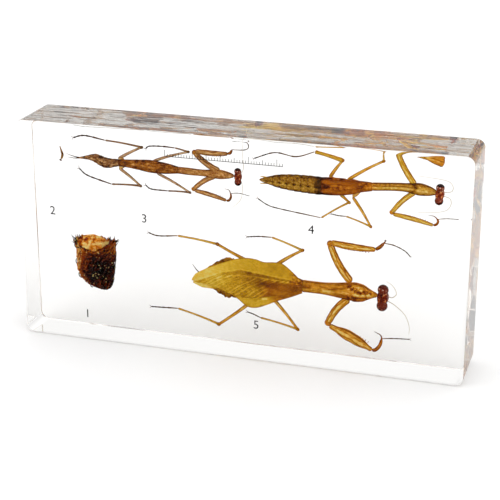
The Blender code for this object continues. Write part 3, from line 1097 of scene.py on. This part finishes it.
def case_froth():
    """The pale foam core, which rises out of the broken rim."""
    skin = Skin()
    s = np.linspace(0, 1, 70)
    path = place(-55.6, 29.2) + np.outer(s, place(-55.6, 37.4) - place(-55.6, 29.2))
    close = rounded(s, 0.02, 0.15)
    across = through(((0, 6.2), (0.55, 6.0), (0.78, 5.0), (0.92, 3.4), (1, 1.4)), s) * close
    deep = through(((0, 4.6), (0.5, 4.2), (0.8, 2.6), (1, 0.8)), s) * close

    def bubbles(at):
        cells = np.stack((at.side, at.rise, at.along), axis=-1)
        return 0.16 * rough(cells, 1.2, 4) + 0.12 * rough(cells + 31, 3.0, 2)

    def froth_paint(at):
        cells = np.stack((at.side, at.rise, at.along), axis=-1)
        web = np.exp(-((rough(cells + 60, 1.1, 2) / 0.06) ** 2))
        tone = 0.86 + 0.4 * rough(cells + 5, 1.6, 3) - 0.25 * ramp_over(at.side, 2.0, 6.0) - 0.4 * web
        return tone - 0.35 * ramp_over(-at.along, -4.2, -1.5) - 0.25 * hump(at.along, 6.6, 0.5), 1.0

    sweep(skin, path, across, deep, sides=110, paint=froth_paint, relief=bubbles)
    skin.piece("egg_case_froth", case_material("egg_case_foam", 0.2))


def case_fibres():
    """Frayed strands over the case, a ragged rim, loose loops and a few trapped bubbles, painted pale as
    glints.
    """
    skin = Skin()
    for _ in range(STRANDS):
        height, angle = dice.uniform(0.03, 1.0), dice.uniform(0, 2 * math.pi)
        west = max(0.0, -math.cos(angle))
        turn, climb = dice.uniform(0.08, 0.3), dice.gauss(-0.08, 0.06)
        t = np.linspace(-0.5, 0.5, 8)
        lift = dice.uniform(-0.2, 0.3) + dice.uniform(0.0, 1.0) * (t**2 - 0.1)
        path = case_point(np.clip(height + climb * t, 0, 1), angle + turn * t, lift)
        path = path + np.array([[dice.gauss(0, 0.07) for _ in range(3)] for _ in t])
        level = float(case_tone(path[4])) + dice.choice((-0.15, 0.0, 0.1, 0.35))
        level = level + 0.2 * west * dice.random()
        girth = dice.uniform(0.08, 0.2)
        strand(skin, path, girth, 0.5 * girth, level)
    for _ in range(RIM_FRAYS):
        angle = dice.uniform(0, 2 * math.pi)
        corner = abs(math.cos(angle)) ** 2
        root = case_point(dice.uniform(0.9, 1.0), angle, dice.uniform(-0.8, 0.1))
        out = unit(case_point(1.0, angle, 1.0) - case_point(1.0, angle, -0.5))
        up = np.array((0, 0, dice.uniform(0.1, 1.3)))
        reach = dice.uniform(0.5, 1.2) + 1.5 * corner * dice.random()
        tip = root + reach * unit(up + out * dice.uniform(0.2, 1.0))
        path = curve((root, (root + tip) / 2 + 0.2 * out, tip), 8)
        strand(skin, path, dice.uniform(0.16, 0.34), 0.04, dice.choice((0.02, 0.1, 0.2, 0.45)), sides=6)
    for height, angle, size in ((0.52, math.pi, 1.1), (0.27, math.pi - 0.2, 1.0), (0.1, 2.3, 0.8),
                                (0.82, math.pi + 0.2, 0.9), (0.9, math.pi - 0.3, 0.8)):
        turn = np.linspace(-0.25, math.pi + 0.25, 22)
        middle = case_point(height, angle, -0.3)
        out = unit(case_point(height, angle, 1.0) - middle)
        down = np.array((0, 0, -1.0))
        path = middle + size * (np.outer(np.sin(turn), out) + np.outer(np.cos(turn), down) * 1.2)
        strand(skin, path, 0.2, 0.16, 0.06, sides=8)
    # Trapped bubbles as pale balls: painted glints.
    for _ in range(GLINT_BUBBLES):
        height, angle = dice.uniform(0.05, 0.98), dice.uniform(0, 2 * math.pi)
        size = dice.uniform(0.09, 0.2)
        ball(skin, case_point(height, angle, 0.1), HEADS_FACE, (size,) * 3, sides=8, rings=6,
             paint=dark_paint(1.0))
    skin.piece("egg_case_fibres", case_material("egg_case_fibre", 0.15))


def egg_case():
    case_shell()
    case_froth()
    case_fibres()


# ---------------------------------------------------------------- colours, from dark to pale

ADULT_OLIVE = ((40, 24, 4), (104, 70, 8), (168, 124, 16), (214, 172, 44), (250, 224, 120))
ADULT_AMBER = ((52, 16, 3), (124, 54, 6), (190, 108, 14), (234, 164, 46), (255, 226, 136))
WING_OLIVE = ((46, 26, 2), (104, 68, 5), (164, 118, 12), (210, 166, 30), (234, 196, 66), (246, 222, 130))
WING_AMBER = ((52, 18, 2), (118, 58, 5), (176, 102, 12), (224, 156, 30), (246, 196, 62), (252, 220, 120))
HALF_OLIVE = ((30, 20, 6), (88, 62, 12), (150, 116, 32), (204, 170, 72), (240, 218, 140))
NYMPH_DUSK = ((30, 16, 8), (84, 54, 32), (138, 98, 62), (192, 150, 106), (238, 208, 168))
NYMPH_AMBER = ((40, 16, 5), (108, 52, 10), (168, 98, 26), (216, 156, 72), (246, 212, 146))
HEAD_RAMP = ((18, 3, 3), (66, 14, 6), (118, 34, 10), (176, 80, 30), (232, 160, 100))
CASE_RAMP = ((10, 1, 0), (78, 14, 1), (156, 58, 4), (232, 142, 28), (255, 222, 136))


def eye_material(name):
    """Compound eye: very dark, with a fine net of facets."""
    graph = Graph(name)
    facets = graph.add("TexVoronoi", Vector=graph.attribute("grain", "Vector"), Scale=7.0)
    tone = graph.math("MULTIPLY_ADD", facets.outputs["Distance"], 0.12, graph.attribute("tone"))
    colour = graph.ramp(tone, ((12, 2, 3), (74, 18, 8), (128, 44, 18), (196, 150, 120), (245, 240, 232)))
    graph.bump(facets.outputs["Distance"], 0.4, 0.05)
    return graph.finish(Base_Color=colour, Roughness=0.25, IOR=1.2)


def pale_thread():
    graph = Graph("antenna_thread")
    grain = graph.attribute("grain", "Vector")
    rings = graph.noise(graph.stretched(grain, (4.0, 0.2, 0.2)), 1.0)
    colour = graph.ramp(rings, ((178, 160, 128), (226, 216, 196)))
    return graph.finish(Base_Color=colour, Roughness=0.6, IOR=SEALED_IOR)


def case_material(name, contrast):
    """Hardened froth of the egg case, in dark and amber layers."""
    graph = Graph(name)
    grain = graph.position()
    layers = graph.noise(graph.stretched(grain, (1.0, 1.0, 2.0)), 1.2, detail=6.0, roughness=0.65)
    tone = graph.math("MULTIPLY_ADD", layers, 2 * contrast,
                      graph.math("SUBTRACT", graph.attribute("tone"), contrast))
    graph.bump(layers, 0.8, 0.25)
    return graph.finish(Base_Color=graph.ramp(tone, CASE_RAMP), Roughness=0.5, IOR=SEALED_IOR)


# ---------------------------------------------------------------- printed marks

NUMERAL_HEIGHT = 3.25
NUMERALS = (("1", -58.1, 7.2), ("2", -70.0, 45.5), ("3", -35.1, 45.9), ("4", 25.2, 48.0),
            ("5", 5.9, 10.7))
DIGIT_SHARE = 0.73  # of the type size, which a digit's height takes up
INK_THICKNESS = 0.04


def ink():
    graph = Graph("grey_ink")
    position = graph.position()
    colour = graph.ramp(graph.noise(position, 3.0), ((20, 20, 24), (48, 48, 52)))
    return graph.finish(Base_Color=colour, Roughness=0.7, IOR=SEALED_IOR)


def numerals(material):
    """The plain numbers beside the specimens, in grey ink inside the resin."""
    for digit, x, z in NUMERALS:
        text = bpy.data.curves.new("number_" + digit, "FONT")
        text.body = digit
        text.size = NUMERAL_HEIGHT / DIGIT_SHARE * MM
        text.align_x = "CENTER"
        text.align_y = "CENTER"
        text.extrude = INK_THICKNESS / 2 * MM
        carrier = bpy.data.objects.new("carrier", text)
        mesh = bpy.data.meshes.new_from_object(carrier)
        bpy.data.objects.remove(carrier)
        mesh.name = "number_" + digit
        mesh.materials.clear()
        mesh.materials.append(material)
        piece = in_block("number_" + digit, mesh)
        piece.rotation_euler = (math.radians(90), 0, 0)
        piece.location = Vector((x, PRINT_Y, z)) * MM


def scale_line(material):
    """A plain line ruled in millimetres."""
    skin = Skin()
    left, right, level = -27.0, 15.0, 69.4
    bars = [((left + right) / 2, level, (right - left) / 2, 0.11)]
    for i in range(int(right - left) + 1):
        reach = 1.15 if i % 10 == 0 else 0.8 if i % 5 == 0 else 0.5
        bars.append((left + i, level + reach, 0.09, reach))
    for x, z, half_x, half_z in bars:
        ring = np.array([(-1, 1), (1, 1), (1, -1), (-1, -1)]) * (half_x, half_z) + (x, z)
        front, back = (np.array([(px, PRINT_Y + side * INK_THICKNESS / 2, pz) for px, pz in ring])
                       for side in (-1, 1))
        points = np.stack((front, back))
        skin.add_rings(points, (0.0, 0.0), points)
    piece = skin.piece("scale_line", material)
    for polygon in piece.data.polygons:
        polygon.use_smooth = False


# ---------------------------------------------------------------- the resin


RESIN_IOR = 1.5
RESIN_COLOUR, RESIN_DENSITY = (0.80, 0.76, 0.67, 1), 5.5  # what absorption leaves, and how fast
RESIN_GLOSS = (0.08, 0.08, 0.08, 1)  # low, so that the mirrored floor doesn't veil the insects
POLISH_HEIGHT = 0.6  # of the waves in the top face


def resin_material():
    """Clear resin, absorbing a little, with the drawn grain of a hand-polished top face."""
    graph = Graph("clear_resin")
    volume = graph.add("VolumeAbsorption", Color=RESIN_COLOUR, Density=RESIN_DENSITY)
    graph.links.new(volume.outputs["Volume"], graph.nodes["Material Output"].inputs["Volume"])
    position = graph.position()
    waves = graph.noise(graph.stretched(position, (0.06, 0.2, 0.2)), 1.0, detail=2.0)
    height = graph.add("SeparateXYZ", Vector=position).outputs["Z"]
    top = graph.math("GREATER_THAN", height, block_high.z - 0.02)
    made = graph.add("Bump", Height=waves, Strength=top, Distance=POLISH_HEIGHT * MM)
    graph.links.new(made.outputs["Normal"], graph.shader.inputs["Normal"])
    return graph.finish(
        Base_Color=(1.0, 1.0, 1.0, 1), Roughness=0.0, IOR=RESIN_IOR, Transmission_Weight=1.0,
        Specular_Tint=RESIN_GLOSS,
    )


def dress_block():
    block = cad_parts["resin_block"]
    block.data.materials.clear()
    block.data.materials.append(resin_material())
    for polygon in block.data.polygons:
        polygon.use_smooth = True
    weld = block.modifiers.new("one_skin", "WELD")
    weld.merge_threshold = 0.001 * MM
    normals = block.modifiers.new("flat_faces_stay_flat", "WEIGHTED_NORMAL")
    normals.keep_sharp = False
    normals.weight = 100


# ---------------------------------------------------------------- studio


FLOOR_RADIUS, FLOOR_SIDES = 4.0, 96  # in metres
FLOOR_GAP = 0.05  # below the block, so that the two faces don't coincide


def make_floor():
    graph = Graph("pale_floor")
    cloud = graph.noise(graph.add("TexCoord").outputs["Object"], 0.6)
    graph.finish(Base_Color=graph.ramp(cloud, ((246, 246, 246), (248, 248, 248)), lift=1.0),
                 Roughness=0.6)
    mesh = bpy.data.meshes.new("floor")
    angles = [2 * math.pi * i / FLOOR_SIDES for i in range(FLOOR_SIDES)]
    rim = [(FLOOR_RADIUS * math.cos(angle), FLOOR_RADIUS * math.sin(angle), 0) for angle in angles]
    mesh.from_pydata(rim, [], [list(range(FLOOR_SIDES))])
    mesh.materials.append(graph.material)
    floor = bpy.data.objects.new("floor", mesh)
    bpy.context.scene.collection.objects.link(floor)
    floor.location.z = (block_low.z - FLOOR_GAP) * MM


SKY_LEVELS = ((0.0, 1.0), (1.0, 1.45))  # at the horizon and overhead
FILL_LEVELS = ((-1.0, 0.75), (0.1, 0.0))  # in front and behind


def make_world():
    """Plain soft studio light, rather brighter overhead, with a fill from the front."""
    world = bpy.data.worlds.new("studio")
    world.use_nodes = True
    nodes, links = world.node_tree.nodes, world.node_tree.links
    background = nodes["Background"]
    direction = nodes.new("ShaderNodeTexCoord")
    split = nodes.new("ShaderNodeSeparateXYZ")
    links.new(direction.outputs["Generated"], split.inputs["Vector"])

    def level_along(axis, stops):
        """Brightness against one part of the direction, which runs from -1 to 1."""
        share = nodes.new("ShaderNodeMath")
        share.operation = "MULTIPLY_ADD"
        links.new(split.outputs[axis], share.inputs[0])
        share.inputs[1].default_value = 0.5
        share.inputs[2].default_value = 0.5
        ramp = nodes.new("ShaderNodeValToRGB")
        ramp.color_ramp.interpolation = "EASE"
        while len(ramp.color_ramp.elements) < len(stops):
            ramp.color_ramp.elements.new(0.5)
        for element, (part, level) in zip(ramp.color_ramp.elements, stops):
            element.position = 0.5 + 0.5 * part
            element.color = (level / 2, level / 2, level / 2, 1)
        links.new(share.outputs[0], ramp.inputs["Fac"])
        return ramp.outputs["Color"]

    total = nodes.new("ShaderNodeMath")
    total.operation = "ADD"
    links.new(level_along("Z", SKY_LEVELS), total.inputs[0])
    links.new(level_along("Y", FILL_LEVELS), total.inputs[1])
    links.new(total.outputs[0], background.inputs["Color"])
    background.inputs["Strength"].default_value = STUDIO_STRENGTH
    bpy.context.scene.world = world


CAMERA_AT = (138.0, -439.5, 206.1)
CAMERA_AIM = (2.1, 0.0, 36.6)
CAMERA_LENS = 101.4
SENSOR_WIDTH = 36.0


def make_camera():
    data = bpy.data.cameras.new("camera")
    data.lens = CAMERA_LENS
    data.sensor_width = SENSOR_WIDTH
    camera = bpy.data.objects.new("camera", data)
    bpy.context.scene.collection.objects.link(camera)
    camera.location = Vector(CAMERA_AT) * MM
    aim = Vector(CAMERA_AIM) * MM
    camera.rotation_euler = (aim - camera.location).to_track_quat("-Z", "Y").to_euler()
    bpy.context.scene.camera = camera


def render_settings():
    scene = bpy.context.scene
    scene.view_settings.view_transform = "Standard"
    scene.cycles.use_denoising = True
    scene.cycles.max_bounces = 24
    scene.cycles.glossy_bounces = 16
    scene.cycles.transmission_bounces = 24


def main():
    make_camera()
    dress_block()
    adult()
    half_grown()
    young_nymph()
    hatchling()
    egg_case()
    marks = ink()
    numerals(marks)
    scale_line(marks)
    make_floor()
    make_world()
    render_settings()


main()
